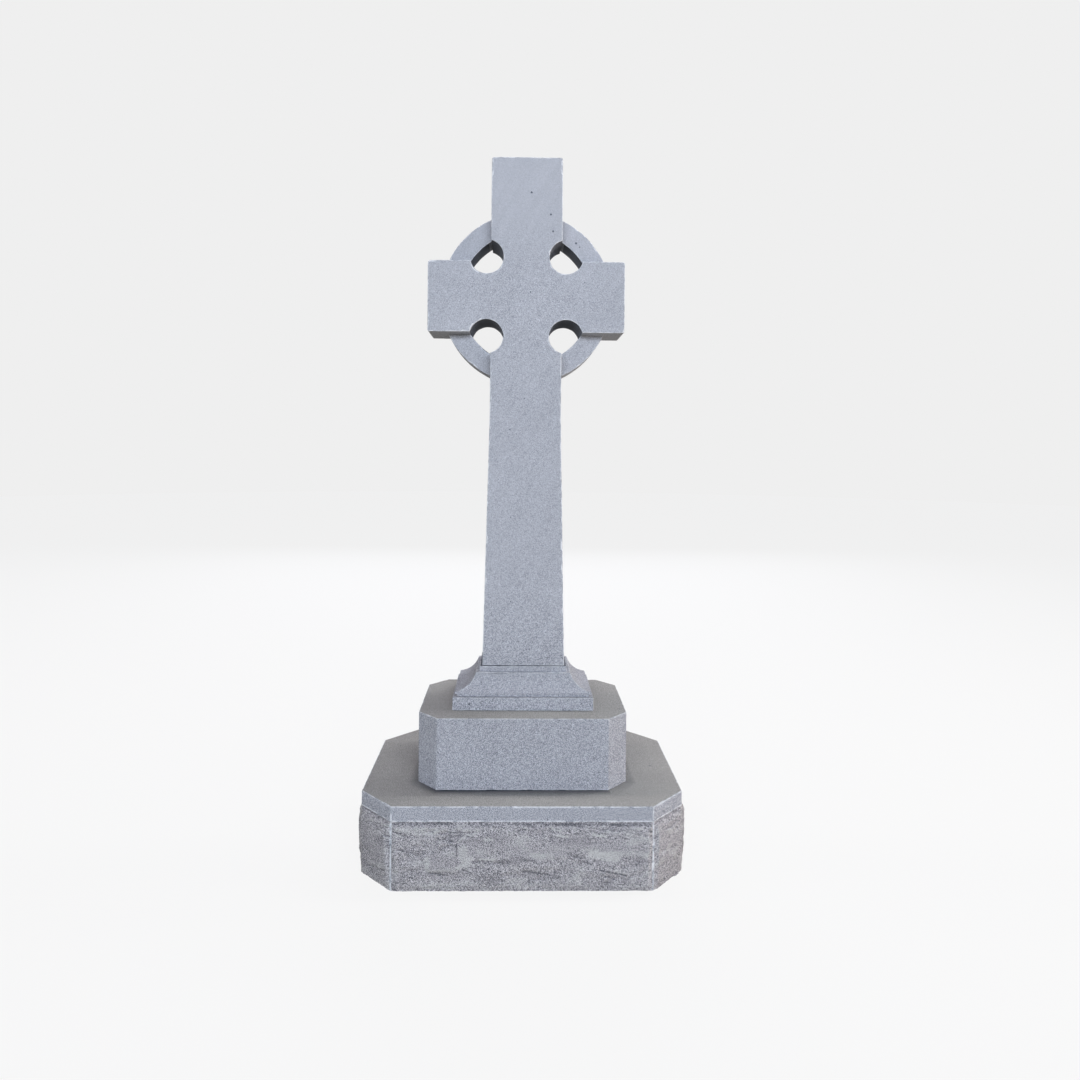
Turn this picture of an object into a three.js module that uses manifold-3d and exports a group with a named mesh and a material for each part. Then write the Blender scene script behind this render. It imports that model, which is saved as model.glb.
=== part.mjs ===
// Ringed cross memorial in four stones: a plain wheel-head cross, a moulded foot, a die block and a
// rock-faced plinth. Millimetres, +Z up, the front faces -Y, the origin is under the plinth's middle.
import * as THREE from 'three';
import { mergeVertices } from 'three/addons/utils/BufferGeometryUtils.js';
import Module from 'manifold-3d';

// Thin mortar bed left between each stone and the one under it
const bedJoint = 0.3;

// Plinth: a canted slab with a smooth margin at the top and pitched rock faces below it
const plinthWidth = 610;
const plinthDepth = 384;
const plinthHeight = 152;
const plinthCant = 66;
const marginHeight = 27;
const rockHeight = plinthHeight - marginHeight;
const rockCell = 12;
const rockProud = 7;
const rockSwell = 2.2;
const rockRipple = 1.3;
const rockDraft = 11;
const rockFootShare = 0.45;
const rockEdge = 9;
const rockWander = 7;

// Each shelf is where a layer of the stone broke off: its height, the length of its wavy edge and its step
const rockShelves = [
  { level: 32, wave: 230, step: 2.1 },
  { level: 58, wave: 310, step: 2.4 },
  { level: 98, wave: 170, step: -1.6 },
];

// On the front the middle layer's edge jumps up at its left, and a small boss stands out below the jump
const notchEnd = 118;
const notchRise = 42;
const bossStart = 64;
const bossEnd = 122;
const bossBottom = 34;
const bossTop = 72;
const bossStep = 3.4;

// Die: a smooth canted block
const dieWidth = 406;
const dieDepth = 250;
const dieHeight = 136;
const dieCant = 39;

// Foot: a lower fillet, a narrow groove, a nosing, a hollow cavetto and a neck that takes the shaft
const footWidth = 277;
const footDepth = 160;
const filletHeight = 25;
const filletLedge = 4.5;
const grooveHeight = 3.5;
const grooveDepth = 4;
const nosingHeight = 6;
const cavettoHeight = 35;
const cavettoLean = THREE.MathUtils.degToRad(13);
const cavettoSteps = 10;
const neckWidth = 174;
const neckDepth = 110;
const neckLedge = 7;
const neckHeight = 10.5;
const footHeight = filletHeight + grooveHeight + nosingHeight + cavettoHeight + neckHeight;

// Cross: four plain limbs of one width, the lower one a shaft that widens to its foot
const crossThickness = 102;
const limbWidth = 143;
const armSpan = 396;
const headRise = 280;
const shaftFall = 740;
const taperStart = 240;
const shaftFootWidth = 164;

// Ring: set back from the front, flush with the back, struck a little above the arms' middle line
const ringOuterRadius = 176;
const ringInnerRadius = 136;
const ringRecess = 36;
const ringRise = 4;
const ringSegments = 128;

// Eyelets: four round openings that bite into the corners between the limbs
const eyeletRadius = 34;
const eyeletOffset = 80;
const eyeletSegments = 48;

const wasm = await Module();
wasm.setup();

function smooth(share) {
  const held = THREE.MathUtils.clamp(share, 0, 1);
  return held * held * (3 - 2 * held);
}

// A closed mesh from corner points and triangles
function solidFromRings(points, triangles) {
  const geometry = new THREE.BufferGeometry();
  geometry.setAttribute('position', new THREE.Float32BufferAttribute(points, 3));
  geometry.setIndex(triangles);
  geometry.computeVertexNormals();
  return geometry;
}

// Rings of equal point count stacked from the bottom up, joined by bands and closed by flat fans
function stackRings(rings) {
  const count = rings[0].length;
  const points = [];
  const triangles = [];
  for (const ring of rings) {
    for (const point of ring) points.push(point.x, point.y, point.z);
  }
  for (let level = 0; level + 1 < rings.length; level += 1) {
    for (let side = 0; side < count; side += 1) {
      const next = (side + 1) % count;
      const low = level * count;
      const high = low + count;
      triangles.push(low + side, low + next, high + next);
      triangles.push(low + side, high + next, high + side);
    }
  }
  const bottomMiddle = rings.length * count;
  const topMiddle = bottomMiddle + 1;
  const top = (rings.length - 1) * count;
  points.push(0, 0, rings[0][0].z);
  points.push(0, 0, rings[rings.length - 1][0].z);
  for (let side = 0; side < count; side += 1) {
    const next = (side + 1) % count;
    triangles.push(bottomMiddle, next, side);
    triangles.push(topMiddle, top + side, top + next);
  }
  return solidFromRings(points, triangles);
}

// Plan of a block with canted corners, counter-clockwise from above, starting at the front's left end
function cantedPlan(width, depth, cant) {
  const halfWidth = width / 2;
  const halfDepth = depth / 2;
  return [
    new THREE.Vector2(-halfWidth + cant, -halfDepth),
    new THREE.Vector2(halfWidth - cant, -halfDepth),
    new THREE.Vector2(halfWidth, -halfDepth + cant),
    new THREE.Vector2(halfWidth, halfDepth - cant),
    new THREE.Vector2(halfWidth - cant, halfDepth),
    new THREE.Vector2(-halfWidth + cant, halfDepth),
    new THREE.Vector2(-halfWidth, halfDepth - cant),
    new THREE.Vector2(-halfWidth, -halfDepth + cant),
  ];
}

// How far a rock face stands out at a place along it and up it: zero at the margin and at both ends
function rockRelief(along, up, width, face) {
  const ends = smooth(Math.min(along, width - along) / rockDraft);
  const top = smooth((rockHeight - up) / rockDraft);
  const foot = THREE.MathUtils.lerp(rockFootShare, 1, smooth(up / rockDraft));
  let proud = rockSwell * (1 + Math.sin((Math.PI * up) / rockHeight));
  for (const shelf of rockShelves) {
    let edge = shelf.level + rockWander * Math.sin((2 * Math.PI * along) / shelf.wave + face * shelf.level);
    if (face === 0 && shelf === rockShelves[1]) edge += notchRise * smooth((notchEnd - along) / rockEdge);
    proud += shelf.step * smooth((up - edge) / rockEdge);
  }
  if (face === 0) {
    const across = smooth((along - bossStart) / rockEdge) * smooth((bossEnd - along) / rockEdge);
    const rise = smooth((up - bossBottom) / rockEdge) * smooth((bossTop - up) / rockEdge);
    proud += bossStep * across * rise;
  }
  proud += rockRipple * Math.sin(along / 23 + 2 * face) * Math.sin(up / 13 + face);
  return ends * top * foot * Math.min(rockProud, proud);
}

// One level of the plinth: the plan's sides cut into cells, each point moved out by the relief there
function plinthRing(height, carved) {
  const plan = cantedPlan(plinthWidth, plinthDepth, plinthCant);
  const ring = [];
  plan.forEach((start, face) => {
    const end = plan[(face + 1) % plan.length];
    const width = start.distanceTo(end);
    const run = end.clone().sub(start).divideScalar(width);
    const outward = new THREE.Vector2(run.y, -run.x);
    const cells = Math.round(width / rockCell);
    for (let cell = 0; cell < cells; cell += 1) {
      const along = (cell * width) / cells;
      const proud = carved ? rockRelief(along, height, width, face) : 0;
      const place = start.clone().addScaledVector(run, along).addScaledVector(outward, proud);
      ring.push(new THREE.Vector3(place.x, place.y, height));
    }
  });
  return ring;
}

function rockFacedPlinth() {
  const rows = Math.round(rockHeight / rockCell);
  const rings = [];
  for (let row = 0; row <= rows; row += 1) {
    rings.push(plinthRing((row * rockHeight) / rows, row < rows));
  }
  rings.push(plinthRing(plinthHeight, false));
  return stackRings(rings);
}

function dieBlock() {
  const levels = [0, dieHeight];
  const plan = cantedPlan(dieWidth, dieDepth, dieCant);
  return stackRings(levels.map((height) => plan.map((point) => new THREE.Vector3(point.x, point.y, height))));
}

// The foot's outline from the bottom up, as a height with the half width and half depth there
function footLevels() {
  const filletWide = footWidth / 2;
  const filletDeep = footDepth / 2;
  const noseWide = filletWide - filletLedge;
  const noseDeep = filletDeep - filletLedge;
  const grooveTop = filletHeight + grooveHeight;
  const cavettoBase = grooveTop + nosingHeight;
  const ledgeWide = neckWidth / 2 + neckLedge;
  const ledgeDeep = neckDepth / 2 + neckLedge;
  const levels = [
    { up: 0, wide: filletWide, deep: filletDeep },
    { up: filletHeight, wide: filletWide, deep: filletDeep },
    { up: filletHeight, wide: noseWide - grooveDepth, deep: noseDeep - grooveDepth },
    { up: grooveTop, wide: noseWide - grooveDepth, deep: noseDeep - grooveDepth },
    { up: grooveTop, wide: noseWide, deep: noseDeep },
  ];
  const arcRadius = 1 / (Math.cos(cavettoLean) - Math.sin(cavettoLean));
  const arcStart = 1.5 * Math.PI - cavettoLean;
  const arcEnd = Math.PI + cavettoLean;
  for (let step = 0; step <= cavettoSteps; step += 1) {
    const angle = THREE.MathUtils.lerp(arcStart, arcEnd, step / cavettoSteps);
    const out = arcRadius * (Math.cos(cavettoLean) + Math.cos(angle));
    const rise = arcRadius * (Math.cos(cavettoLean) + Math.sin(angle));
    levels.push({
      up: cavettoBase + cavettoHeight * rise,
      wide: THREE.MathUtils.lerp(ledgeWide, noseWide, out),
      deep: THREE.MathUtils.lerp(ledgeDeep, noseDeep, out),
    });
  }
  levels.push({ up: footHeight - neckHeight, wide: neckWidth / 2, deep: neckDepth / 2 });
  levels.push({ up: footHeight, wide: neckWidth / 2, deep: neckDepth / 2 });
  return levels;
}

function mouldedFoot() {
  const rings = footLevels().map(({ up, wide, deep }) => [
    new THREE.Vector3(-wide, -deep, up),
    new THREE.Vector3(wide, -deep, up),
    new THREE.Vector3(wide, deep, up),
    new THREE.Vector3(-wide, deep, up),
  ]);
  return stackRings(rings);
}

// A shape drawn from the front, made solid from one depth to a further one, as a solid that can be cut
function uprightSolid(shape, front, back, curveSegments) {
  const geometry = new THREE.ExtrudeGeometry(shape, { depth: back - front, bevelEnabled: false, curveSegments });
  geometry.rotateX(Math.PI / 2);
  geometry.translate(0, back, 0);
  geometry.deleteAttribute('normal');
  geometry.deleteAttribute('uv');
  const merged = mergeVertices(geometry);
  return new wasm.Manifold(new wasm.Mesh({
    numProp: 3,
    vertProperties: new Float32Array(merged.attributes.position.array),
    triVerts: new Uint32Array(merged.index.array),
  }));
}

function crossOutline() {
  const half = limbWidth / 2;
  const reach = armSpan / 2;
  const outline = new THREE.Shape();
  outline.moveTo(-shaftFootWidth / 2, -shaftFall);
  outline.lineTo(shaftFootWidth / 2, -shaftFall);
  outline.lineTo(half, -taperStart);
  outline.lineTo(half, -half);
  outline.lineTo(reach, -half);
  outline.lineTo(reach, half);
  outline.lineTo(half, half);
  outline.lineTo(half, headRise);
  outline.lineTo(-half, headRise);
  outline.lineTo(-half, half);
  outline.lineTo(-reach, half);
  outline.lineTo(-reach, -half);
  outline.lineTo(-half, -half);
  outline.lineTo(-half, -taperStart);
  outline.closePath();
  return outline;
}

function ringOutline() {
  const outline = new THREE.Shape();
  outline.absarc(0, ringRise, ringOuterRadius, 0, 2 * Math.PI, false);
  const opening = new THREE.Path();
  opening.absarc(0, ringRise, ringInnerRadius, 0, 2 * Math.PI, true);
  outline.holes.push(opening);
  return outline;
}

// Limbs first, then the eyelets cut through them, then the ring, which closes each eyelet's outer side
function ringedCross() {
  const front = -crossThickness / 2;
  const back = crossThickness / 2;
  let cross = uprightSolid(crossOutline(), front, back, 1);
  for (const side of [-1, 1]) {
    for (const level of [-1, 1]) {
      const eyelet = new THREE.Shape();
      eyelet.absarc(side * eyeletOffset, level * eyeletOffset, eyeletRadius, 0, 2 * Math.PI, false);
      cross = cross.subtract(uprightSolid(eyelet, front - 1, back + 1, eyeletSegments));
    }
  }
  cross = cross.add(uprightSolid(ringOutline(), front + ringRecess, back, ringSegments));
  const mesh = cross.getMesh();
  return solidFromRings(Array.from(mesh.vertProperties), Array.from(mesh.triVerts));
}

function stone(name, geometry, bottom, colour, roughness) {
  const material = new THREE.MeshStandardMaterial({ color: colour, roughness, metalness: 0 });
  const mesh = new THREE.Mesh(geometry, material);
  mesh.name = name;
  mesh.position.z = bottom;
  return mesh;
}

const dieBottom = plinthHeight + bedJoint;
const footBottom = dieBottom + dieHeight + bedJoint;
const shaftBottom = footBottom + footHeight + bedJoint;

const memorial = new THREE.Group();
memorial.add(stone('rock_faced_plinth', rockFacedPlinth(), 0, 0x9a9da6, 0.92));
memorial.add(stone('die_block', dieBlock(), dieBottom, 0xa3a8b5, 0.88));
memorial.add(stone('moulded_foot', mouldedFoot(), footBottom, 0xa5aab8, 0.88));
memorial.add(stone('ringed_cross', ringedCross(), shaftBottom + shaftFall, 0xa9b0be, 0.88));

export default memorial;
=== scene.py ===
import math

import bmesh
import bpy
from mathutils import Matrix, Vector, kdtree, noise


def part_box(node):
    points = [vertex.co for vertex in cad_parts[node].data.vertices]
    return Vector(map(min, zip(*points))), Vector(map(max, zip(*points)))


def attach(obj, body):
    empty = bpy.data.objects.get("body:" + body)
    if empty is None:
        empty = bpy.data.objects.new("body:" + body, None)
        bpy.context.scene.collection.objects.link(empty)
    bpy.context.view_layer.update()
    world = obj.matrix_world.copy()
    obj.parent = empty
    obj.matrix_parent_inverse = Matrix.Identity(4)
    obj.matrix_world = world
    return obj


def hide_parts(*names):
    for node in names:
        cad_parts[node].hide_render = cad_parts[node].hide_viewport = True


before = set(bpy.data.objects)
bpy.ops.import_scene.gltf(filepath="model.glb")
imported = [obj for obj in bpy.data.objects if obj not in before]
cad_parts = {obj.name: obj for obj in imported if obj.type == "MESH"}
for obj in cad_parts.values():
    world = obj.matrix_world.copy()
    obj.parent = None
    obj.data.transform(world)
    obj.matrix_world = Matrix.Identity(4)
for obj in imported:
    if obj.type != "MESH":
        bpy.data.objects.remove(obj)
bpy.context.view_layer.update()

# Rock-faced plinth: the lowest course, one slab of hard blue-grey sandstone with its corners cut off. Its
# top and a margin band are sawn, the arrises are drafted with a chisel, and the sides below were pitched
# off with a hammer, which left shelves where layers of the stone let go. It stands on the ground by its own
# weight.
plinth_width = 0.610
plinth_depth = 0.384
plinth_top = 0.152
plinth_cant = 0.066
margin_height = 0.027
rock_top = plinth_top - margin_height
scored_line = 0.0022
drafted_arris = 0.0018
drafted_wear = 0.3
rock_cell = 0.0019
most_cuts = 90
pitched_turn = math.radians(32)


def linear(sheet_colour):
    """An sRGB hex colour as the linear colour that a shader takes"""
    channels = [int(sheet_colour[place : place + 2], 16) / 255 for place in (1, 3, 5)]
    return [c / 12.92 if c <= 0.04045 else ((c + 0.055) / 1.055) ** 2.4 for c in channels] + [1.0]


def add(tree, kind, settings, feeds):
    """Adds a node, gives its sockets and fields their settings and links what feeds it"""
    node = tree.nodes.new(kind)
    for name, value in settings.items():
        if isinstance(name, int) or name in node.inputs:
            node.inputs[name].default_value = value
        else:
            setattr(node, name, value)
    for name, socket in feeds.items():
        tree.links.new(socket, node.inputs[name])
    return node


# The grains of the finishes below are drawn 1.2 to 2 mm wide, coarser than the stone's own, so that they show
cloud_size = 0.09
cloud_swing = 0.09
blotch_scale = 0.3
blotch_share = 0.12
pit_spacing = 0.024
pit_chance = 0.28
widest_pit = 0.09
bruise_length = 0.011
pit_colour = "#5F636C"
bruise_and_highlight_colour = "#C3C4C4"
arris_colour = "#D9DBE0"
dark_and_shade_colour = "#3C3E46"

# The speckle is strongest on the plinth, weaker up the shaft and weakest at the top of the head. Each row
# gives the heights between which it changes and how strong it is at the first and the last.
speckle_by_height = [(0.12, 0.35, 2.1, 1.0), (0.35, 0.58, 1.25, 0.62), (1.13, 1.27, 1.0, 0.42)]

# It also weakens from the middle of the cross's head outwards, between two distances from it
head_middle = (0, -0.05, 1.109)
speckle_by_reach = (0.06, 0.17, 1.0, 0.80)

# The stone's tone is made paler higher up: the heights, and what is added to its tone at the first and the
# last
tone_by_height = [(0.25, 0.65, -0.05, 0.05), (1.13, 1.27, 0.0, 0.04)]


def sandstone(name, dark, pale, grain, speckle, roughness, relief, streak=None, bruised=None, wear_and_painted_light=False):
    """A granular stone with grains in blotches, slow clouding and open pits. Streaks, given by their spread,
    tilt and strength, bruises, and the wear, painted highlights and painted shade in a mesh's own attribute
    come where asked for."""
    finish = bpy.data.materials.new(name)
    finish.use_nodes = True
    tree = finish.node_tree
    tree.nodes.clear()
    where = add(tree, "ShaderNodeTexCoord", {}, {}).outputs["Object"]
    height = add(tree, "ShaderNodeSeparateXYZ", {}, {"Vector": where}).outputs["Z"]
    reach = add(tree, "ShaderNodeVectorMath", {"operation": "DISTANCE", 1: head_middle}, {0: where})

    # The grains, finer ones on coarser blotches, as a swing either side of the stone's tone
    fine = add(tree, "ShaderNodeTexNoise", {"Scale": 1 / grain, "Detail": 2.0, "Roughness": 0.6}, {
        "Vector": where,
    })
    blotch = add(tree, "ShaderNodeTexNoise", {"Scale": blotch_scale / grain, "Detail": 1.0}, {
        "Vector": where,
    })
    grains = add(tree, "ShaderNodeMath", {"operation": "MULTIPLY_ADD", 1: blotch_share}, {
        0: blotch.outputs["Fac"], 2: fine.outputs["Fac"],
    }).outputs[0]
    middle = 0.5 * (1 + blotch_share)
    swing = add(tree, "ShaderNodeMath", {"operation": "MULTIPLY_ADD", 1: speckle, 2: -speckle * middle}, {
        0: grains,
    }).outputs[0]
    for value, rows in ((height, speckle_by_height), (reach.outputs["Value"], [speckle_by_reach])):
        for start, end, at_start, at_end in rows:
            strength = add(tree, "ShaderNodeMapRange", {
                "From Min": start, "From Max": end, "To Min": at_start, "To Max": at_end,
            }, {"Value": value}).outputs["Result"]
            swing = add(tree, "ShaderNodeMath", {"operation": "MULTIPLY"}, {0: swing, 1: strength}).outputs[0]

    # The stone's tone drifts in slow clouds and with the height
    clouds = add(tree, "ShaderNodeTexNoise", {"Scale": 1 / cloud_size, "Detail": 3.0}, {"Vector": where})
    tone = add(tree, "ShaderNodeMapRange", {"To Min": 0.5 - cloud_swing, "To Max": 0.5 + cloud_swing}, {
        "Value": clouds.outputs["Fac"],
    }).outputs["Result"]
    for start, end, at_start, at_end in tone_by_height:
        paler = add(tree, "ShaderNodeMapRange", {
            "From Min": start, "From Max": end, "To Min": at_start, "To Max": at_end,
        }, {"Value": height}).outputs["Result"]
        tone = add(tree, "ShaderNodeMath", {"operation": "ADD"}, {0: tone, 1: paler}).outputs[0]
    share = add(tree, "ShaderNodeMath", {"operation": "ADD"}, {0: swing, 1: tone}).outputs[0]
    if streak:
        spread, tilt, strength = streak
        lines = add(tree, "ShaderNodeMapping", {
            "vector_type": "TEXTURE", "Rotation": (0, tilt, 0), "Scale": spread,
        }, {"Vector": where})
        wash = add(tree, "ShaderNodeTexNoise", {"Scale": 1.0, "Detail": 2.0}, {
            "Vector": lines.outputs["Vector"],
        })
        shift = add(tree, "ShaderNodeMapRange", {"To Min": -strength, "To Max": strength}, {
            "Value": wash.outputs["Fac"],
        }).outputs["Result"]
        share = add(tree, "ShaderNodeMath", {"operation": "ADD"}, {0: share, 1: shift}).outputs[0]
    ends = {"Color1": linear(dark), "Color2": linear(pale)}
    colour = add(tree, "ShaderNodeMixRGB", ends, {"Fac": share}).outputs["Color"]

    # Open pits, one in some of the cells that the stone is divided into
    cells = add(tree, "ShaderNodeTexVoronoi", {"Scale": 1 / pit_spacing}, {"Vector": where})
    chance = add(tree, "ShaderNodeSeparateColor", {}, {"Color": cells.outputs["Color"]}).outputs["Red"]
    widest = add(tree, "ShaderNodeMapRange", {"From Min": 1 - pit_chance, "To Max": widest_pit}, {
        "Value": chance,
    }).outputs["Result"]
    inside = add(tree, "ShaderNodeMath", {"operation": "LESS_THAN"}, {
        0: cells.outputs["Distance"], 1: widest,
    }).outputs[0]
    colour = add(tree, "ShaderNodeMixRGB", {"Color2": linear(pit_colour)}, {
        "Fac": inside, "Color1": colour,
    }).outputs["Color"]
    # The mesh's attribute: pale for bruises and painted highlights, dark for dark patches, painted shade and
    # painted shadow
    if wear_and_painted_light:
        wear_and_light_here = add(tree, "ShaderNodeAttribute", {"attribute_name": "wear_and_painted_light"}, {}).outputs["Fac"]
        broken = add(tree, "ShaderNodeMapRange", {
            "From Min": 0.3, "From Max": 0.6, "To Min": 0.35, "To Max": 1.0,
        }, {"Value": fine.outputs["Fac"]}).outputs["Result"]
        pale_share = add(tree, "ShaderNodeMath", {"operation": "MULTIPLY", "use_clamp": True}, {
            0: wear_and_light_here, 1: broken,
        }).outputs[0]
        dark_share = add(tree, "ShaderNodeMath", {"operation": "MULTIPLY", 1: -1.0, "use_clamp": True}, {
            0: wear_and_light_here,
        }).outputs[0]
        for amount, mark_colour in ((pale_share, bruise_and_highlight_colour), (dark_share, dark_and_shade_colour)):
            colour = add(tree, "ShaderNodeMixRGB", {"Color2": linear(mark_colour)}, {
                "Fac": amount, "Color1": colour,
            }).outputs["Color"]
    if bruised:
        patches = add(tree, "ShaderNodeTexNoise", {"Scale": 1 / bruise_length, "Detail": 2.0}, {
            "Vector": where,
        })
        pale_share = add(tree, "ShaderNodeMapRange", {"From Min": 0.38, "From Max": 0.56, "To Max": bruised}, {
            "Value": patches.outputs["Fac"],
        })
        colour = add(tree, "ShaderNodeMixRGB", {"Color2": linear(arris_colour)}, {
            "Fac": pale_share.outputs["Result"], "Color1": colour,
        }).outputs["Color"]
    bump = add(tree, "ShaderNodeBump", {"Strength": 1.0, "Distance": relief}, {"Height": grains})
    shader = add(tree, "ShaderNodeBsdfPrincipled", {"Roughness": roughness, "IOR": 1.5}, {
        "Base Color": colour, "Normal": bump.outputs["Normal"],
    })
    add(tree, "ShaderNodeOutputMaterial", {}, {"Surface": shader.outputs["BSDF"]})
    return finish


# Fine-rubbed sandstone: sawn and rubbed faces, blue-grey with an even speckle of dark and pale grains
rubbed_face = sandstone(
    "rubbed_blue_sandstone", "#60636C", "#C8CAD3", grain=0.0012, speckle=3.1, roughness=0.86, relief=0.0006,
    streak=((0.11, 0.012, 0.012), -1.08, 0.06),
)

# Sawn upper beds hold dust, which flattens their speckle, and their tone is painted a little darker and
# warmer, as the shade and warm light on the tops, with faint saw lines
dusty_shaded_bed = sandstone(
    "dusty_shaded_sawn_bed", "#737271", "#AFAEAC", grain=0.0016, speckle=2.0, roughness=0.92, relief=0.0003,
    streak=((0.2, 0.003, 0.2), 0, 0.10), wear_and_painted_light=True,
)

# Bruised arrises: the tool crushed the grains here and there along an edge, which shows as a broken pale line
bruised_arris = sandstone(
    "bruised_sandstone_arris", "#6E737C", "#C8CCD5", grain=0.0012, speckle=2.6, roughness=0.90, relief=0.0003,
    bruised=0.8,
)

# Eased arrises: rubbed off lightly by hand, so a little paler than the faces, and paler still in a few places
eased_edge = sandstone(
    "eased_sandstone_arris", "#646972", "#C6CAD4", grain=0.0012, speckle=2.8, roughness=0.88, relief=0.0004,
    bruised=0.6,
)

# Pitched rock face: broken grains with a strong dark and pale speckle, and pale bruises on what stands out,
# with the painted highlights and shade that the rock's attribute gives
pitched_face = sandstone(
    "pitched_blue_sandstone", "#4A4A51", "#D0CDD2", grain=0.0013, speckle=2.6, roughness=0.93, relief=0.0008,
    wear_and_painted_light=True,
)

# Painted shade for the eyelet walls, the pits and the beds and lowest arris strips at the joints, where shade
# falls: soft, dark and nearly neutral
painted_shade_stone = sandstone(
    "painted_shade_sandstone", "#4A4D56", "#757A84", grain=0.0020, speckle=1.5, roughness=0.95, relief=0.0002
)

# Each stone's list of finishes starts with that of its faces and that of its arrises
face_slot, arris_slot = 0, 1


def start_block(name, width, depth, bottom, top, finishes):
    """A sawn block, bottom to top, with its finishes, in edit mode"""
    bpy.ops.object.select_all(action="DESELECT")
    bpy.ops.mesh.primitive_cube_add(
        size=1, location=(0, 0, (bottom + top) / 2), scale=(width, depth, top - bottom)
    )
    bpy.ops.object.transform_apply(location=True, rotation=True, scale=True)
    block = bpy.context.object
    block.name = name
    block.data.name = name
    for finish in finishes:
        block.data.materials.append(finish)
    bpy.ops.object.mode_set(mode="EDIT")
    return block


def pick(block, kind, test):
    """Selects, in edit mode, the edges or faces that pass a test on their place, and nothing else"""
    bpy.ops.mesh.select_mode(type=kind)
    bpy.ops.mesh.select_all(action="DESELECT")
    shape = bmesh.from_edit_mesh(block.data)
    parts = shape.edges if kind == "EDGE" else shape.faces
    for part in parts:
        if test(part):
            part.select_set(True)
    bmesh.update_edit_mesh(block.data)


def rises(edge):
    """How far an edge runs upward"""
    return abs(edge.verts[0].co.z - edge.verts[1].co.z)


def lies_at(edge, level):
    return all(abs(corner.co.z - level) < 1e-5 for corner in edge.verts)


def mark(block, finish, test):
    """Gives one of the block's finishes to the faces that pass a test on their place"""
    pick(block, "FACE", test)
    block.active_material_index = block.data.materials.find(finish.name)
    bpy.ops.object.material_slot_assign()


def top_of(block):
    return max(corner.co.z for corner in bmesh.from_edit_mesh(block.data).verts)


def pick_top(block):
    highest = top_of(block)
    pick(block, "FACE", lambda face: (face.calc_center_median() - Vector((0, 0, highest))).length < 1e-5)


def raise_top(block, rise, widen, deepen):
    """Draws the middle of the block's top up and sets its size there"""
    pick_top(block)
    bpy.ops.mesh.extrude_region_move(TRANSFORM_OT_translate={"value": (0, 0, rise)})
    bpy.ops.transform.resize(value=(widen, deepen, 1))


def smooth(share):
    held = min(1, max(0, share))
    return held * held * (3 - 2 * held)


# An arris is nibbled in pieces of one length, in small bites all along and in large ones here and there. A
# bite is a share of the arris's breadth, and below the shallowest or above the deepest it is held.
nibble = 0.004
shallowest_bite = 0.25
deepest_bite = 2.4
bite_offset = -0.05
small_bite, small_bite_length = 0.75, 0.007
large_bite, large_bite_length = 1.6, 0.019
large_bite_start, large_bite_fade = 0.25, 0.2


def wear(block, lines, depth):
    """Nibbles the arrises along their lines, more in some places than in others, as frost and handling do"""
    pieces = []
    for start, end in lines:
        count = math.ceil((end - start).length / nibble)
        for number in range(count):
            pieces.append((start.lerp(end, number / count), start.lerp(end, (number + 1) / count)))
    nearest = kdtree.KDTree(len(pieces))
    for number, (start, end) in enumerate(pieces):
        nearest.insert((start + end) / 2, number)
    nearest.balance()

    # The bites fade out where arrises meet at a corner, so that the corner stays whole
    meetings = {}
    for start, end in lines:
        for point, run in ((start, (end - start).normalized()), (end, (start - end).normalized())):
            meetings.setdefault(tuple(round(1e5 * value) for value in point), []).append((point, run))
    corners = [met[0][0] for met in meetings.values() if len(met) != 2 or met[0][1].dot(met[1][1]) > -0.9]
    corner_at = kdtree.KDTree(len(corners))
    for number, point in enumerate(corners):
        corner_at.insert(point, number)
    corner_at.balance()
    shape = bmesh.from_edit_mesh(block.data)
    worn_faces = [face for face in shape.faces if face.material_index == arris_slot]
    for vertex in {vertex for face in worn_faces for vertex in face.verts}:
        start, end = pieces[nearest.find(vertex.co)[1]]
        run = (end - start).normalized()
        on_line = start + run * (vertex.co - start).dot(run)
        large = noise.noise(on_line / large_bite_length + Vector((3, 5, 7)))
        bite = bite_offset + small_bite * noise.noise(on_line / small_bite_length)
        bite += large_bite * smooth((large - large_bite_start) / large_bite_fade)
        bite = min(deepest_bite, max(shallowest_bite, 1 + depth * bite))
        if corners:
            bite = 1 + (bite - 1) * smooth((corner_at.find(vertex.co)[2] - nibble / 2) / nibble)
        vertex.co = on_line + (vertex.co - on_line) * bite
    bmesh.update_edit_mesh(block.data)


plinth = start_block(
    "plinth", plinth_width, plinth_depth, 0, plinth_top,
    [rubbed_face, bruised_arris, dusty_shaded_bed, pitched_face, eased_edge],
)
pick(plinth, "EDGE", lambda edge: rises(edge) > margin_height)
bpy.ops.mesh.bevel(offset=plinth_cant, offset_type="OFFSET", segments=1, affect="EDGES")
pick(plinth, "EDGE", lambda edge: rises(edge) > margin_height or lies_at(edge, plinth_top))
arris_lines = [
    tuple(corner.co.copy() for corner in edge.verts)
    for edge in bmesh.from_edit_mesh(plinth.data).edges if edge.select
]
bpy.ops.mesh.bevel(
    offset=drafted_arris, offset_type="OFFSET", segments=2, affect="EDGES", material=arris_slot
)
for level in (rock_top, rock_top + scored_line):
    bpy.ops.mesh.select_all(action="SELECT")
    bpy.ops.mesh.bisect(plane_co=(0, 0, level), plane_no=(0, 0, 1))

# Rings in the top round the foot of the die carry a painted shadow along the joint. It is darkest in front
# of the die and fades out round its sides.
shadow_reach = 0.022
shadow_gaps = (shadow_reach, 0.014, 0.001)
shadow_strength = 1.1
shadow_fade = 3
die_low, die_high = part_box("die_block")
wide, deep = plinth_width / 2 - drafted_arris, plinth_depth / 2 - drafted_arris
for gap in shadow_gaps:
    raise_top(plinth, 0, (die_high[0] + gap) / wide, (die_high[1] + gap) / deep)
    wide, deep = die_high[0] + gap, die_high[1] + gap

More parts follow.
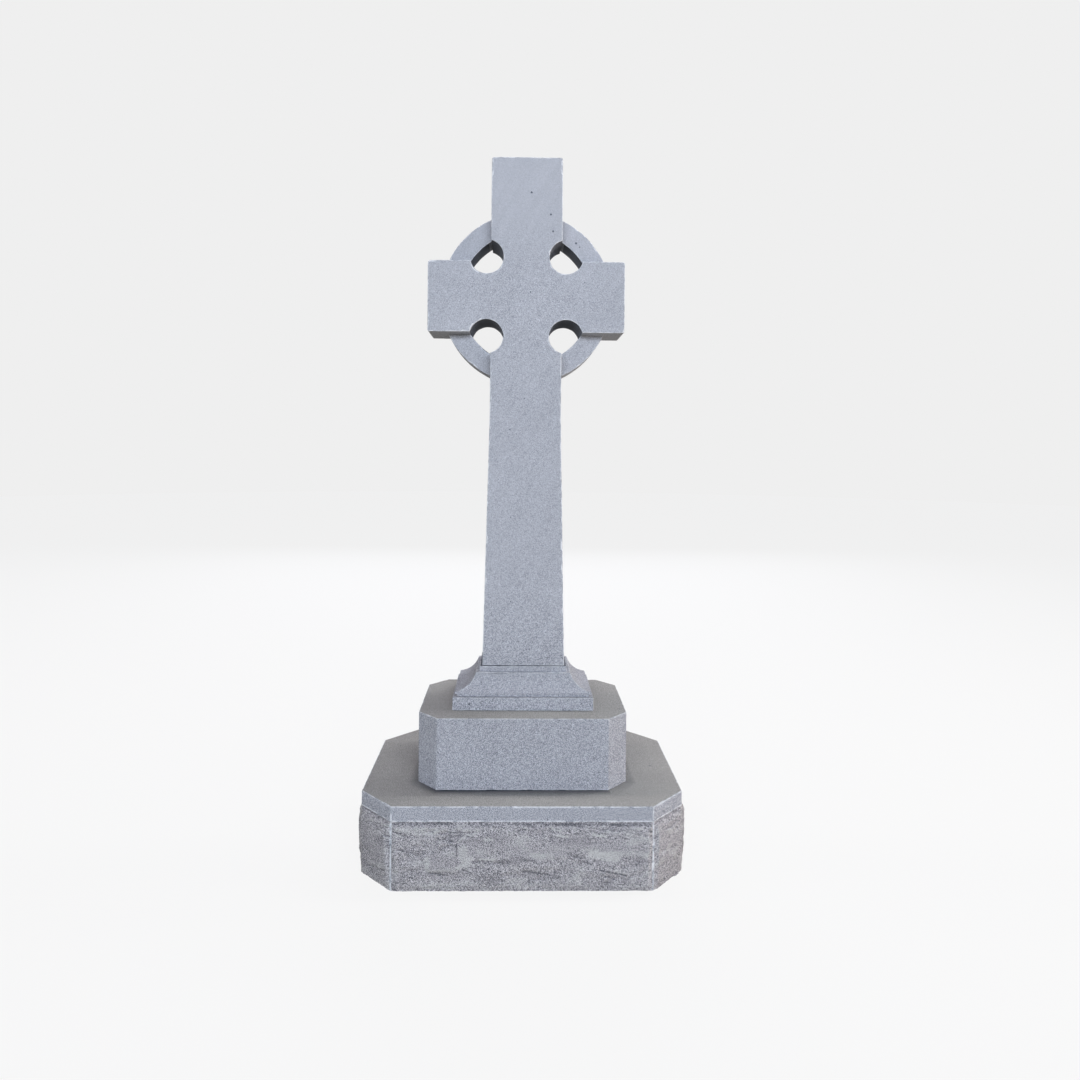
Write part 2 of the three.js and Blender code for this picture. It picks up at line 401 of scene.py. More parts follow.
# The sides are cut into small cells: each along its length, in stretches, and then up the rock's height
front_length, end_length = plinth_width - 2 * plinth_cant, plinth_depth - 2 * plinth_cant
for side_length in (front_length, end_length, plinth_cant * math.sqrt(2)):
    cells = round(side_length / rock_cell)
    stretches = math.ceil(cells / most_cuts)
    for length, count in ((side_length, stretches), (side_length / stretches, round(cells / stretches))):
        if count > 1:
            pick(plinth, "EDGE", lambda edge: (
                rises(edge) < 1e-5 and length * 0.9 < edge.calc_length() < length * 1.01
            ))
            bpy.ops.mesh.subdivide(number_cuts=count - 1)
pick(plinth, "EDGE", lambda edge: rises(edge) > rock_top * 0.9)
bpy.ops.mesh.subdivide(number_cuts=round(rock_top / rock_cell) - 1)
wear(plinth, arris_lines, drafted_wear)
mark(plinth, bruised_arris, lambda face: rock_top < face.calc_center_median().z < rock_top + scored_line)
mark(plinth, dusty_shaded_bed, lambda face: face.normal.z > 0.99)
mark(plinth, eased_edge, lambda face: (
    face.material_index == arris_slot and face.calc_center_median().z > plinth_top - drafted_arris
))
mark(plinth, pitched_face, lambda face: (
    face.calc_center_median().z < rock_top and face.material_index == face_slot
))
bpy.ops.object.mode_set(mode="OBJECT")

# The relief of the rock faces, in millimetres as a mason would gauge it, up from the base and along from
# one end. A shelf is given by its height, the length of its wave and its step.
rock_height = round(rock_top * 1000)
rock_swell = 2.2
rock_ripple = 1.3
ripple_length, ripple_height = 23, 13
rock_draft = 11
rock_foot_share = 0.45
rock_edge = 9
rock_wander = 7
rock_shelves = [(32, 230, 2.1), (58, 310, 2.4), (98, 170, -1.6)]
notch_end = 118
notch_rise = 42
boss_start, boss_end = 64, 122
boss_bottom, boss_top = 34, 72
boss_step = 3.4
rock_knee = 5.6
rock_spare = 1.4
detail_draft = 3

# The chips, in three sizes: breadth, height, the step from one to the next, and the slope. They are flatter
# in the band under the margin, and the large ones are calmer low on the face.
chips = [(34, 11, 0.8, 0.10), (13, 6.5, 0.5, 0.14), (5.2, 3.9, 0.36, 0.20)]
chip_wander = 7
wander_length, wander_height = 31, 17
shelf_band = 100
shelf_stretch = 1.5
calm_share = 0.4
calm_top, calm_fade = 40, 30
large_chip = 7
crumb_size = 3.4
crumb_depth = 0.40

# The nicks that the pitching chisel left just under the margin
nick_depth = 0.6
nick_bottom, nick_fade, nick_top_fade = 116, 4, 1.5
nick_length, nick_height = 7, 3.5
nick_share, nick_contrast = 0.3, 2.4

# Pale bruises, partly painted highlight where the rock faces up, and cracks, with painted shade along them,
# on the front: from and to, along and up, half their breadth, and their strength
bruise_rise = 0.8
crack_depth = 1.3
ragged_share = 0.8
ragged_length, ragged_height = 4.5, 2.6
front_bruises_and_highlights = [
    (15, 112, 81, 109, 6, 0.40), (10, 115, 20, 111.5, 1.6, 0.8), (42, 115, 60, 113.5, 1.5, 0.7),
    (58, 107, 84, 105.5, 1.6, 0.8), (10, 104.5, 20, 101, 1.5, 0.8), (120, 89, 133, 100, 1.5, 0.6),
    (133, 100, 152, 105, 1.8, 0.8), (152, 105, 160, 112, 1.5, 0.6), (160, 60.5, 188, 59, 2.2, 0.9),
    (124, 45, 147, 62, 4, 0.7), (131, 80, 137, 50, 8, 0.55), (67, 60, 67, 38, 4.5, 0.65),
    (69, 36, 118, 44, 3, 0.3), (170, 96, 184, 95.5, 2.4, 0.8), (292, 114, 308, 111, 1.8, 0.8),
    (302, 103, 321, 101, 2, 0.8), (368, 104, 390, 102, 2.4, 0.75), (391, 109, 416, 108, 1.3, 0.8),
    (442, 115.5, 457, 114, 1.2, 0.8), (366, 70, 408, 64, 8, 0.75), (420, 71, 443, 70, 6, 0.5),
    (451, 70, 467, 68, 5, 0.5), (255, 68, 276, 64, 5, 0.4),
]
front_shaded_cracks = [
    (119.7, 88, 120.4, 64, 1.4, 1.0), (66.6, 34.4, 103, 30.2, 1.4, 1.0), (150, 55, 215, 56, 4, 0.4),
    (5, 108, 25, 106.5, 1.3, 0.8), (107, 108, 158, 108, 1.5, 0.5), (380, 40, 428, 29, 1.5, 0.8),
    (239, 37, 286, 31, 1.5, 0.6), (130, 42, 146, 35, 1.6, 0.7), (240, 60, 262, 57, 2, 0.5),
    (86, 122, 118, 121, 2, 0.6), (300, 121, 345, 120, 2, 0.5), (398, 120, 430, 119, 2, 0.5),
    (202, 60, 216, 52, 2, 0.5),
]

# The tone of the rock, from minus one, dark, to one, pale: what each mark adds, and what a millimetre of
# standing out of its surroundings adds. The tones of the cracks and the nicks are painted shade.
crack_shade_tone = 0.8
nick_shade_tone = 0.15
patch_length, patch_height = 52, 21
pale_patch, pale_patch_start = 0.35, 0.25
dark_patch, dark_patch_start = 0.2, -0.2
patch_fade = 0.3
end_tone, cant_end_tone = 0.3, 0.6
end_reach, end_fade = 1.6, 4
tone_per_millimetre = 0.5
darkest_tone, palest_tone = -0.7, 0.9
surroundings = 3


def main_relief(along, up, face):
    """How far the pitched face stands out, in shelves. The notch and the boss are on the front alone."""
    proud = rock_swell * (1 + math.sin(math.pi * up / rock_height))
    for number, (level, wave, step) in enumerate(rock_shelves):
        edge = level + rock_wander * math.sin(2 * math.pi * along / wave + face * level)
        if face == 0 and number == 1:
            edge += notch_rise * smooth((notch_end - along) / rock_edge)
        proud += step * smooth((up - edge) / rock_edge)
    if face == 0:
        across = smooth((along - boss_start) / rock_edge) * smooth((boss_end - along) / rock_edge)
        rise = smooth((up - boss_bottom) / rock_edge) * smooth((boss_top - up) / rock_edge)
        proud += boss_step * across * rise
    ripple = math.sin(along / ripple_length + 2 * face) * math.sin(up / ripple_height + face)
    return proud + rock_ripple * ripple


def broken_detail(along, up, face):
    """The chips, each a flat facet with its own height and slope, and crumbs, other ones on each face"""
    drift = noise.noise_vector(Vector((along / wander_length, up / wander_height, 5.1 * face))) * chip_wander
    crumbs = Vector((along / crumb_size, 1.3 * up / crumb_size, 3.1 * face))
    proud = crumb_depth * noise.fractal(crumbs, 0.7, 2.2, 2)
    flatter = shelf_stretch if up > shelf_band else 1
    for chip_width, chip_height, step, slope in chips:
        place = Vector((
            (along + drift.x) / (chip_width * flatter), (up + drift.y) / (chip_height / flatter),
            9.7 * face + chip_width,
        ))
        gaps, centres = noise.voronoi(place)
        own = noise.cell_vector(centres[0])
        offset = place - centres[0]
        lean = offset.x * chip_width * (own.y - 0.5) + offset.y * chip_height * (own.z - 0.5)
        calm = 1
        if chip_width > large_chip:
            calm = calm_share + (1 - calm_share) * smooth((up - calm_top) / calm_fade)
        proud += calm * (2 * step * (own.x - 0.5) + 2 * slope * lean)
    return proud


def nicked(along, up, face):
    """How strongly the chisel nicked a place under the margin, from none to one"""
    in_band = smooth((up - nick_bottom) / nick_fade) * smooth((rock_height - up) / nick_top_fade)
    chance = noise.noise(Vector((along / nick_length, up / nick_height, 8.1 * face)))
    return in_band * smooth(nick_share + nick_contrast * chance)


def stroke(along, up, strokes):
    """How strongly the strokes touch a place, from none to one"""
    most = 0
    for from_along, from_up, to_along, to_up, half, strength in strokes:
        start = Vector((from_along, from_up))
        run = Vector((to_along, to_up)) - start
        share = min(1, max(0, (Vector((along, up)) - start).dot(run) / run.length_squared))
        gap = (Vector((along, up)) - start - run * share).length
        if gap < 2 * half:
            unevenness = noise.noise(Vector((along / ragged_length, up / ragged_height, 1.7)))
            ragged = half * (1 + ragged_share * unevenness)
            most = max(most, strength * smooth((ragged - gap) / (0.5 * half) + 0.5))
    return most


def patch_tone(along, up, face):
    """The tone of the broad pale and dark patches"""
    patch = noise.fractal(Vector((along / patch_length, up / patch_height, 4.3 * face + 2)), 0.9, 2.1, 3)
    tone = pale_patch * smooth((patch - pale_patch_start) / patch_fade)
    return tone - dark_patch * smooth((dark_patch_start - patch) / patch_fade)


# The noise that makes the chips wander starts from a fixed seed, so that each run breaks the rock alike
chip_seed = 7
noise.seed_set(chip_seed)
half_width, half_depth, cant = plinth_width * 500, plinth_depth * 500, plinth_cant * 1000
plan_corners = [
    Vector(corner) for corner in (
        (cant - half_width, -half_depth), (half_width - cant, -half_depth),
        (half_width, cant - half_depth), (half_width, half_depth - cant),
        (half_width - cant, half_depth), (cant - half_width, half_depth),
        (-half_width, half_depth - cant), (-half_width, cant - half_depth),
    )
]
proud_of = {}
tone_of = {}
for vertex in plinth.data.vertices:
    up = vertex.co.z * 1000
    if up > rock_height - 0.01:
        continue
    place = vertex.co.xy * 1000
    for face, start in enumerate(plan_corners):
        run = plan_corners[(face + 1) % 8] - start
        width = run.length
        run = run / width
        outward = Vector((run.y, -run.x))
        along = (place - start).dot(run)
        on_face = abs((place - start).dot(outward)) < 0.01
        if on_face and drafted_arris < along / 1000 < width / 1000 - drafted_arris:
            from_end = min(along, width - along)
            ends = smooth(from_end / rock_draft)
            top = smooth((rock_height - up) / rock_draft)
            foot = rock_foot_share + (1 - rock_foot_share) * smooth(up / rock_draft)
            near_edge = smooth(from_end / detail_draft) * smooth((rock_height - up) / detail_draft)
            pale = stroke(along, up, front_bruises_and_highlights) if face == 0 else 0
            dark = stroke(along, up, front_shaded_cracks) if face == 0 else 0
            nick = nicked(along, up, face)
            proud = main_relief(along, up, face) * ends * top * foot - nick_depth * nick
            proud += near_edge * (broken_detail(along, up, face) + bruise_rise * pale - crack_depth * dark)
            if proud > rock_knee:
                proud = rock_knee + rock_spare * (1 - math.exp((rock_knee - proud) / rock_spare))
            proud_of[vertex.index] = proud
            # The rock's tone: pale bruises with painted highlight, painted shade along the cracks and in the
            # nicks, and pale and dark patches
            tone = pale - crack_shade_tone * dark - nick_shade_tone * nick + patch_tone(along, up, face)
            tone += (cant_end_tone if face % 2 else end_tone) * smooth(end_reach - from_end / end_fade)
            tone_of[vertex.index] = tone
            vertex.co.xy = (place + outward * proud) / 1000
            break

# What stands out of its surroundings is rubbed pale, and what lies deeper is painted darker, as the shade in
# the hollows
around = dict(proud_of)
for widening in range(surroundings):
    total = {index: [value, 1] for index, value in around.items()}
    for edge in plinth.data.edges:
        first, second = edge.vertices
        if first in around and second in around:
            total[first][0] += around[second]
            total[first][1] += 1
            total[second][0] += around[first]
            total[second][1] += 1
    around = {index: value / count for index, (value, count) in total.items()}
wear_and_painted_light = plinth.data.attributes.new("wear_and_painted_light", "FLOAT", "POINT")
for index, proud in proud_of.items():
    tone = tone_of[index] + tone_per_millimetre * (proud - around[index])
    wear_and_painted_light.data[index].value = max(darkest_tone, min(palest_tone, tone))
# A painted shadow along the joint round the foot of the die, darkest in front
for vertex in plinth.data.vertices:
    if vertex.co.z > plinth_top - 1e-5:
        gap = max(abs(vertex.co.x) - die_high[0], abs(vertex.co.y) - die_high[1])
        toward_front = min(1, max(0, 0.5 - 0.5 * vertex.co.y / die_high[1])) ** shadow_fade
        wear_and_painted_light.data[vertex.index].value = -toward_front * smooth(shadow_strength * (1 - gap / shadow_reach))

bpy.ops.object.shade_smooth_by_angle(angle=pitched_turn)
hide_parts("rock_faced_plinth")
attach(plinth, "root")

# Die block: a smooth block of the same stone with canted corners, bedded on the plinth in a hair-thin
# joint. Its sides are rubbed and its arrises lightly eased so that they don't chip.
die_cant = 0.039
eased_arris = 0.0010
eased_wear = 1
bed_edge = 0.003
sharp_turn = math.radians(30)
dressed_finishes = [rubbed_face, eased_edge, dusty_shaded_bed, painted_shade_stone, bruised_arris]


def split_arrises(block, test):
    """Cuts the arrises that pass a test into short pieces and selects them, and returns where they run"""
    pick(block, "EDGE", test)
    shape = bmesh.from_edit_mesh(block.data)
    lines = []
    for edge in [edge for edge in shape.edges if edge.select]:
        first, last = edge.verts
        lines.append((first.co.copy(), last.co.copy()))
        for left in range(math.ceil(edge.calc_length() / nibble), 1, -1):
            new_edge, corner = bmesh.utils.edge_split(edge, edge.other_vert(last), 1 / left)
            for part in (edge, new_edge):
                part.select_set(True)
            edge = edge if last in edge.verts else new_edge
    bmesh.update_edit_mesh(block.data)
    return lines


def ease(block, breadth, test):
    """Eases the arrises that pass a test to a breadth, and returns where they ran"""
    lines = split_arrises(block, test)
    bpy.ops.mesh.bevel(offset=breadth, offset_type="OFFSET", segments=2, affect="EDGES", material=arris_slot)
    return lines


def fill_flats(block):
    """Divides the many-sided flat faces, so that each one's shape is settled before its rim wears"""
    pick(block, "FACE", lambda face: len(face.verts) > 4)
    bpy.ops.mesh.quads_convert_to_tris(quad_method="BEAUTY", ngon_method="BEAUTY")


def finish_stone(stone, node):
    """Closes a dressed stone: even shading on its flat faces, and its place in the frame"""
    bpy.ops.object.mode_set(mode="OBJECT")
    bpy.ops.object.select_all(action="DESELECT")
    stone.select_set(True)
    bpy.context.view_layer.objects.active = stone
    bpy.ops.object.shade_smooth_by_angle(angle=sharp_turn)
    even = stone.modifiers.new("even_shading", "WEIGHTED_NORMAL")
    even.keep_sharp = True
    bpy.ops.object.modifier_apply(modifier=even.name)
    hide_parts(node)
    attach(stone, "root")


die = start_block(
    "die", die_high[0] - die_low[0], die_high[1] - die_low[1], die_low[2], die_high[2], dressed_finishes
)
pick(die, "EDGE", lambda edge: rises(edge) > die_cant)
bpy.ops.mesh.bevel(offset=die_cant, offset_type="OFFSET", segments=1, affect="EDGES")
die_lines = ease(die, eased_arris, lambda edge: True)
fill_flats(die)
wear(die, die_lines, eased_wear)
mark(die, rubbed_face, lambda face: (
    die_low[2] + bed_edge < face.calc_center_median().z < die_high[2] - bed_edge
))
mark(die, dusty_shaded_bed, lambda face: face.normal.z > 0.99)
# Painted shade on the underside and the lowest strip of the bottom arrises, along the joint
mark(die, painted_shade_stone, lambda face: face.normal.z < -0.6)
finish_stone(die, "die_block")

# Moulded foot: one block worked with moulding chisels into a fillet, a narrow groove, a nosing, a hollow
# cavetto, a small ledge and a plain neck. The shaft stands on the neck.
foot_low, foot_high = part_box("moulded_foot")
fillet_height = 0.025
fillet_ledge = 0.0045
groove_height = 0.0055
groove_depth = 0.004
nosing_height = 0.004
cavetto_height = 0.035
cavetto_lean = math.radians(13)
cavetto_steps = 22
neck_ledge = 0.007
neck_width = 0.174
neck_depth = 0.110
groove_arris = 0.0005
moulding_edge = 0.002
pit_depth = 0.0011
chip_depth = 0.0009


def settle(stone):
    """Puts a stone's corners and faces in one fixed order, because cutting and joining leave them in any"""
    shape = stone.data
    places = [tuple(round(value, 7) for value in vertex.co) for vertex in shape.vertices]
    order = sorted(range(len(places)), key=places.__getitem__)
    rank = {index: number for number, index in enumerate(order)}
    faces = []
    for polygon in shape.polygons:
        ring = [rank[index] for index in polygon.vertices]
        first = ring.index(min(ring))
        faces.append((ring[first:] + ring[:first], polygon.material_index))
    faces.sort()
    settled = bpy.data.meshes.new(stone.name)
    corners = [shape.vertices[index].co[:] for index in order]
    settled.from_pydata(corners, [], [ring for ring, finish in faces])
    for finish in shape.materials:
        settled.materials.append(finish)
    for polygon, (ring, finish) in zip(settled.polygons, faces):
        polygon.material_index = finish
    stone.data = settled
    bpy.data.meshes.remove(shape)


def combine(stone, other, operation):
    """Cuts the other shape from the stone or joins it on, and takes the other away"""
    bpy.ops.object.select_all(action="DESELECT")
    stone.select_set(True)
    bpy.context.view_layer.objects.active = stone
    change = stone.modifiers.new("combine", "BOOLEAN")
    change.operation = operation
    change.solver = "EXACT"
    change.object = other
    bpy.ops.object.modifier_apply(modifier=change.name)
    bpy.data.objects.remove(other)
    settle(stone)


def pit(stone, place, breadth, depth, finish):
    """A small open hollow in a face that looks forward, a ball's cap in shape"""
    radius = (breadth * breadth / 4 + depth * depth) / (2 * depth)
    bpy.ops.object.select_all(action="DESELECT")
    bpy.ops.mesh.primitive_ico_sphere_add(
        subdivisions=3, radius=radius, location=(place[0], place[1] - radius + depth, place[2])
    )
    bpy.ops.object.transform_apply(location=True, rotation=True, scale=True)
    ball = bpy.context.object
    for polygon in ball.data.polygons:
        polygon.material_index = stone.data.materials.find(finish.name)
    combine(stone, ball, "DIFFERENCE")


foot = start_block(
    "foot", foot_high[0] - foot_low[0], foot_high[1] - foot_low[1], foot_low[2], foot_low[2] + fillet_height,
    dressed_finishes,
)
nose_wide = (foot_high[0] - foot_low[0]) / 2 - fillet_ledge
nose_deep = (foot_high[1] - foot_low[1]) / 2 - fillet_ledge
fillet_top = top_of(foot)
pick_top(foot)
bpy.ops.mesh.inset(thickness=fillet_ledge + groove_depth)
raise_top(foot, groove_height, 1, 1)
groove_top = top_of(foot)
raise_top(foot, 0, nose_wide / (nose_wide - groove_depth), nose_deep / (nose_deep - groove_depth))
raise_top(foot, nosing_height, 1, 1)

# The cavetto is a quarter arc that starts a little off the level and ends a little off the plumb
ledge_wide = neck_width / 2 + neck_ledge
ledge_deep = neck_depth / 2 + neck_ledge
arc_radius = 1 / (math.cos(cavetto_lean) - math.sin(cavetto_lean))
arc_turn = math.pi / 2 - 2 * cavetto_lean
wide, deep, up = nose_wide, nose_deep, 0
for step in range(1, cavetto_steps + 1):
    angle = 1.5 * math.pi - cavetto_lean - arc_turn * step / cavetto_steps
    out = arc_radius * (math.cos(cavetto_lean) + math.cos(angle))
    rise = arc_radius * (math.cos(cavetto_lean) + math.sin(angle))
    next_wide = ledge_wide + (nose_wide - ledge_wide) * out
    next_deep = ledge_deep + (nose_deep - ledge_deep) * out
    raise_top(foot, cavetto_height * rise - up, next_wide / wide, next_deep / deep)
    wide, deep, up = next_wide, next_deep, cavetto_height * rise
ledge_level = top_of(foot)
pick_top(foot)
bpy.ops.mesh.inset(thickness=neck_ledge)
raise_top(foot, foot_high[2] - top_of(foot), 1, 1)


def convex(edge):
    return edge.is_convex and edge.calc_face_angle(0) > sharp_turn


def beside_groove(edge):
    return fillet_top - 1e-5 < min(corner.co.z for corner in edge.verts) and all(
        corner.co.z < groove_top + 1e-5 for corner in edge.verts
    )


foot_lines = ease(foot, groove_arris, lambda edge: convex(edge) and beside_groove(edge))
foot_lines += ease(foot, eased_arris, lambda edge: (
    convex(edge) and not fillet_top - moulding_edge < edge.verts[0].co.z < groove_top + moulding_edge
))
fill_flats(foot)
wear(foot, foot_lines, eased_wear)
mark(foot, rubbed_face, lambda face: (
    groove_top - moulding_edge / 2 < face.calc_center_median().z < groove_top + nosing_height + moulding_edge
))
mark(foot, bruised_arris, lambda face: (
    face.material_index == arris_slot and abs(face.calc_center_median().z - ledge_level) < eased_arris * 1.5
))
# Painted shade on the neck's top under the shaft and on the underside and lowest strip of the bottom arrises
mark(foot, painted_shade_stone, lambda face: (
    face.normal.z > 0.99 and face.calc_center_median().z > foot_high[2] - 1e-4
))
mark(foot, painted_shade_stone, lambda face: (
    face.normal.z < -0.6 and face.calc_center_median().z < foot_low[2] + eased_arris
))
bpy.ops.object.mode_set(mode="OBJECT")
front = foot_low[1]
# A pit painted dark inside as its shade, and two chips bruised pale
pit(foot, (-0.1056, front, 0.3010), 0.0042, pit_depth, painted_shade_stone)
pit(foot, (-0.0948, front, 0.2916), 0.0046, chip_depth, bruised_arris)
pit(foot, (-0.0880, front, 0.2916), 0.0042, chip_depth, bruised_arris)
finish_stone(foot, "moulded_foot")

# Ringed cross: head, ring and tapered shaft sawn and carved from one stone. The limbs stand forward of the
# ring, which is flush with them at the back, and four round eyelets were bored through the corners between
# the limbs.
cross_low, cross_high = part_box("ringed_cross")
cross_thickness = cross_high[1] - cross_low[1]
limb_width = 0.143
arm_span = cross_high[0] - cross_low[0]
head_rise = 0.280
cross_middle = cross_high[2] - head_rise
taper_start = 0.240
shaft_foot_width = 0.164
ring_outer = 0.176
ring_inner = 0.136
ring_recess = 0.036
ring_rise = 0.004
ring_sides = 192
eyelet_radius = 0.034
eyelet_offset = 0.080
eyelet_sides = 72
cross_arris = 0.0015
limb_corner = 0.004
spare = 0.01


def draw_out(block, direction, length, widen):
    """Draws the end face of the limb that runs in a direction further out from the cross's middle"""
    middle = Vector((0, 0, cross_middle))
    reach = max((corner.co - middle).dot(direction) for corner in bmesh.from_edit_mesh(block.data).verts)
    end = middle + direction * reach
    pick(block, "FACE", lambda face: (face.calc_center_median() - end).length < 1e-3)
    bpy.ops.mesh.extrude_region_move(TRANSFORM_OT_translate={"value": direction * length})
    bpy.ops.transform.resize(value=(widen, 1, 1))


def bored(name, x, z, radius, front, back, sides):
    """A round bar through the stone, from the front to the back"""
    bpy.ops.object.select_all(action="DESELECT")
    bpy.ops.mesh.primitive_cylinder_add(
        vertices=sides, radius=radius, depth=back - front, location=(x, (front + back) / 2, z),
        rotation=(math.pi / 2, 0, 0),
    )
    bpy.ops.object.transform_apply(location=True, rotation=True, scale=True)
    bpy.context.object.name = name
    return bpy.context.object


half_limb = limb_width / 2
cross = start_block(
    "cross", limb_width, cross_thickness, cross_middle - half_limb, cross_middle + half_limb, dressed_finishes
)
draw_out(cross, Vector((0, 0, 1)), head_rise - half_limb, 1)
draw_out(cross, Vector((1, 0, 0)), arm_span / 2 - half_limb, 1)
draw_out(cross, Vector((-1, 0, 0)), arm_span / 2 - half_limb, 1)
draw_out(cross, Vector((0, 0, -1)), taper_start - half_limb, 1)
draw_out(cross, Vector((0, 0, -1)), cross_middle - taper_start - cross_low[2], shaft_foot_width / limb_width)
pick(cross, "EDGE", lambda edge: (
    abs(edge.verts[0].co.y - edge.verts[1].co.y) > cross_thickness * 0.9
    and (abs(edge.verts[0].co.x) > arm_span / 2 - 1e-5 or edge.verts[0].co.z > cross_high[2] - 1e-5)
))
bpy.ops.mesh.bevel(offset=limb_corner, offset_type="OFFSET", segments=4, affect="EDGES")
bpy.ops.object.mode_set(mode="OBJECT")
for side in (-1, 1):
    for level in (-1, 1):
        eyelet = bored(
            "eyelet", side * eyelet_offset, cross_middle + level * eyelet_offset, eyelet_radius,
            cross_low[1] - spare, cross_high[1] + spare, eyelet_sides,
        )
        combine(cross, eyelet, "DIFFERENCE")
ring_front, ring_middle = cross_low[1] + ring_recess, cross_middle + ring_rise
ring = bored("ring", 0, ring_middle, ring_outer, ring_front, cross_high[1], ring_sides)
hole = bored("hole", 0, ring_middle, ring_inner, cross_low[1] - spare, cross_high[1] + spare, ring_sides)
combine(ring, hole, "DIFFERENCE")

# The ring's back is set exactly in the plane of the limbs' back, so that the two join without a seam
limb_back = max(vertex.co.y for vertex in cross.data.vertices)
for vertex in ring.data.vertices:
    if vertex.co.y > ring_front + spare:
        vertex.co.y = limb_back
combine(cross, ring, "UNION")
bpy.ops.object.mode_set(mode="EDIT")
bpy.ops.mesh.select_all(action="SELECT")
bpy.ops.mesh.remove_doubles(threshold=1e-5)
bpy.ops.mesh.dissolve_limited(angle_limit=math.radians(0.5))
cross_lines = ease(cross, cross_arris, convex)
fill_flats(cross)
wear(cross, cross_lines, eased_wear)
mark(cross, bruised_arris, lambda face: (
    face.material_index == arris_slot and face.calc_center_median().y < cross_low[1] + cross_arris
))
# Painted shade on the underside and lowest arris strip of the shaft's foot, and on the walls of the eyelets
mark(cross, painted_shade_stone, lambda face: (
    face.normal.z < -0.6 and face.calc_center_median().z < cross_low[2] + cross_arris
))
for side in (-1, 1):
    for level in (-1, 1):
        bore = Vector((side * eyelet_offset, 0, cross_middle + level * eyelet_offset))
        mark(cross, painted_shade_stone, lambda face: (
            face.material_index == face_slot and abs(face.normal.y) < 0.1
            and ((face.calc_center_median() - bore) * Vector((1, 0, 1))).length < eyelet_radius + 0.002
        ))
bpy.ops.object.mode_set(mode="OBJECT")

# Open pits in the front of the head, the ring and the shaft, painted dark inside as their shade: their place
# and breadth
limb_front = cross_low[1]
for place, breadth in (
    ((0.0086, limb_front, 1.3181), 0.0042), ((0.0525, limb_front, 1.2404), 0.0040),
    ((0.0084, limb_front, 1.1181), 0.0030), ((0.1014, ring_front, 1.2269), 0.0048),
    ((0.1090, ring_front, 1.2190), 0.0028), ((-0.031, limb_front, 0.842), 0.003),
):
    pit(cross, place, breadth, pit_depth, painted_shade_stone)
finish_stone(cross, "ringed_cross")

# Studio: a plain pale floor that glows a little, so that it stays even, with a wide cool light in front, a
# warmer one at the right, a fainter one behind for the back, and four narrow ones overhead that light the
# upper beds.
bpy.ops.object.select_all(action="DESELECT")
bpy.ops.mesh.primitive_circle_add(vertices=96, radius=14, fill_type="NGON", location=(0, 0, 0))
floor = bpy.context.object
floor.name = "floor"
paper = bpy.data.materials.new("pale_studio_paper")
paper.use_nodes = True
paper_shader = paper.node_tree.nodes["Principled BSDF"]
paper_shader.inputs["Base Color"].default_value = linear("#3C3C3C")
paper_shader.inputs["Roughness"].default_value = 0.95
paper_shader.inputs["Emission Color"].default_value = linear("#FFFFFF")
paper_shader.inputs["Emission Strength"].default_value = 0.865
floor.data.materials.append(paper)
floor.visible_diffuse = False
floor.visible_glossy = False


def soft_light(name, start, end, breadth, power, tint, aim):
    """A rectangular light whose long side runs from start to end, turned to face a point"""
    lamp = bpy.data.lights.new(name, "AREA")
    lamp.shape = "RECTANGLE"
    lamp.size = (Vector(end) - Vector(start)).length
    lamp.size_y = breadth
    lamp.energy = power
    lamp.color = linear(tint)[:3]
    holder = bpy.data.objects.new(name, lamp)
    bpy.context.scene.collection.objects.link(holder)
    middle = (Vector(start) + Vector(end)) / 2
    across = (Vector(end) - Vector(start)).normalized()
    back = (middle - Vector(aim)).normalized()
    back = (back - across * back.dot(across)).normalized()
    upward = back.cross(across)
    facing = holder.matrix_world.to_3x3()
    for axis, column in enumerate((across, upward, back)):
        facing.col[axis] = column
    holder.matrix_world = facing.to_4x4()
    holder.location = middle


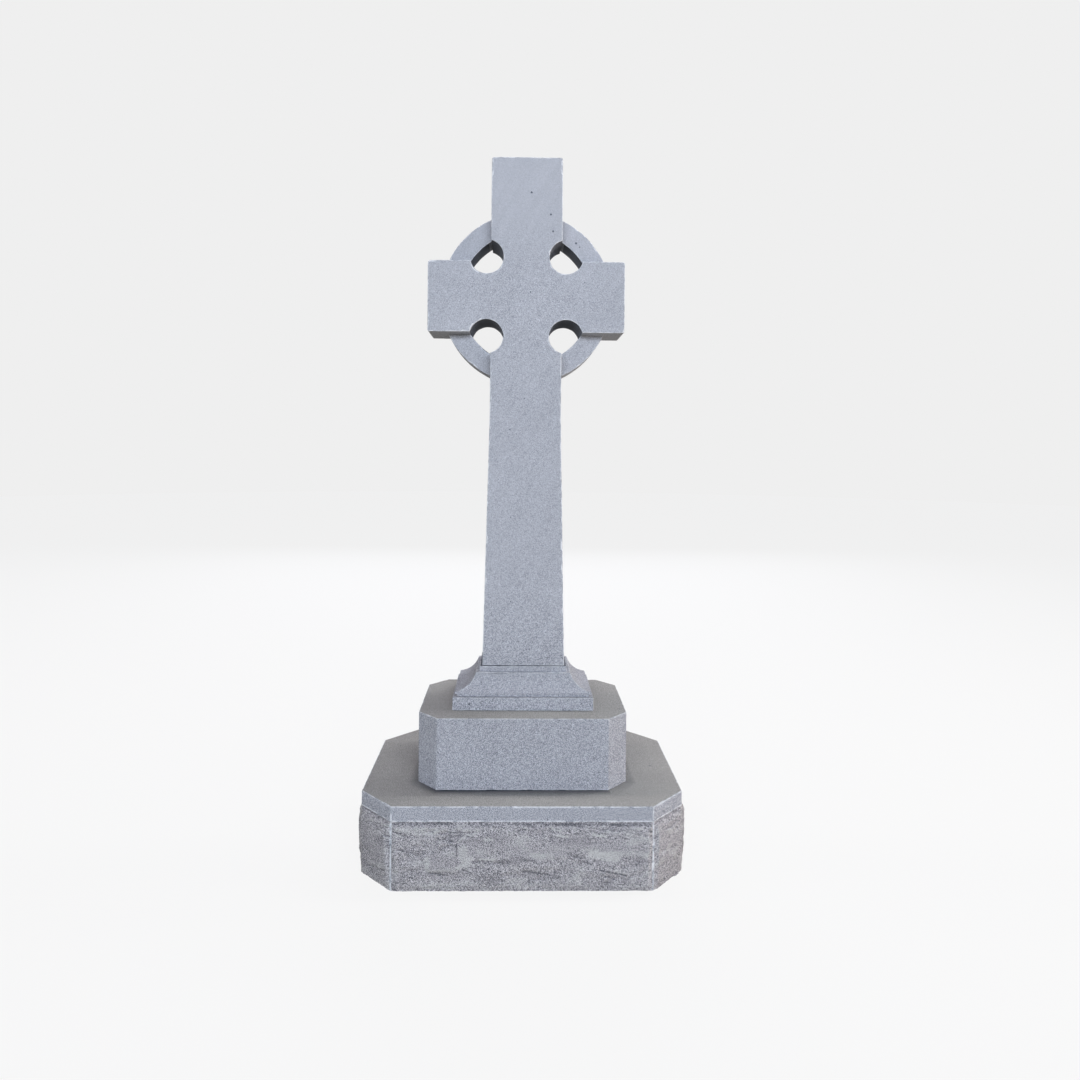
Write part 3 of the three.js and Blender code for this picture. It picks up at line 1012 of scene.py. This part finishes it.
shaft_middle, stone_foot = (0, 0, 0.6), (0, 0, 0.2)
for name, start, end, breadth, power, tint, aim in (
    ("front_light", (-2.4, -4.2, 1.9), (2.8, -4.2, 1.9), 1.4, 228, "#EDF5FF", shaft_middle),
    ("side_light", (4.2, -1.7, 0.55), (4.4, 0.4, 0.55), 1.2, 80, "#FFEDDF", shaft_middle),
    ("back_light", (-2.4, 4.4, 1.7), (2.4, 4.4, 1.7), 1.2, 110, "#F0F2FF", shaft_middle),
    ("overhead_left", (-1.3, 0.58, 3.3), (0.35, 0.58, 3.4), 0.20, 6, "#FFEAE4", stone_foot),
    ("overhead_right", (0.35, 0.58, 3.4), (1.7, 0.42, 2.4), 0.25, 18, "#FFFFFD", stone_foot),
    ("upper_left", (-2.6, 0.18, 2.0), (-1.2, 0.34, 3.0), 0.12, 19, "#FFF4EE", stone_foot),
    ("upper_right", (1.2, 0.34, 3.0), (2.6, 0.18, 2.0), 0.12, 23, "#FFFFFD", stone_foot),
):
    soft_light(name, start, end, breadth, power, tint, aim)

# The air gives a warm light back from the ground and a little blue from above. The camera sees it pale.
sky = bpy.data.worlds.new("studio_air")
sky.use_nodes = True
bpy.context.scene.world = sky
air = sky.node_tree
air.nodes.clear()
direction = add(air, "ShaderNodeTexCoord", {}, {}).outputs["Generated"]
upward = add(air, "ShaderNodeSeparateXYZ", {}, {"Vector": direction}).outputs["Z"]
over = add(air, "ShaderNodeMapRange", {"From Min": -0.1, "From Max": 0.1}, {
    "Value": upward,
}).outputs["Result"]
below = add(air, "ShaderNodeBackground", {"Color": linear("#FFFBEF"), "Strength": 0.41}, {})
above = add(air, "ShaderNodeBackground", {"Color": linear("#6E8FD0"), "Strength": 0.04}, {})
fill = add(air, "ShaderNodeMixShader", {}, {0: over, 1: below.outputs[0], 2: above.outputs[0]})
backdrop = add(air, "ShaderNodeBackground", {"Color": linear("#EFEFEF"), "Strength": 1.0}, {})
seen = add(air, "ShaderNodeLightPath", {}, {}).outputs["Is Camera Ray"]
both = add(air, "ShaderNodeMixShader", {}, {0: seen, 1: fill.outputs[0], 2: backdrop.outputs[0]})
add(air, "ShaderNodeOutputWorld", {}, {"Surface": both.outputs[0]})
bpy.context.scene.view_settings.view_transform = "Standard"

# The camera stands level with the shaft, as in the photograph, with its lens shifted down
lens = bpy.data.cameras.new("camera")
lens.sensor_width = 36
lens.lens = 25.13
lens.shift_x = 0.00842
lens.shift_y = -0.0819
camera = bpy.data.objects.new("camera", lens)
camera.location = (-0.0146, -1.5628, 0.7948)
camera.rotation_euler = (math.radians(90.12), math.radians(-0.5), math.radians(-1.0))
bpy.context.scene.collection.objects.link(camera)
bpy.context.scene.camera = camera
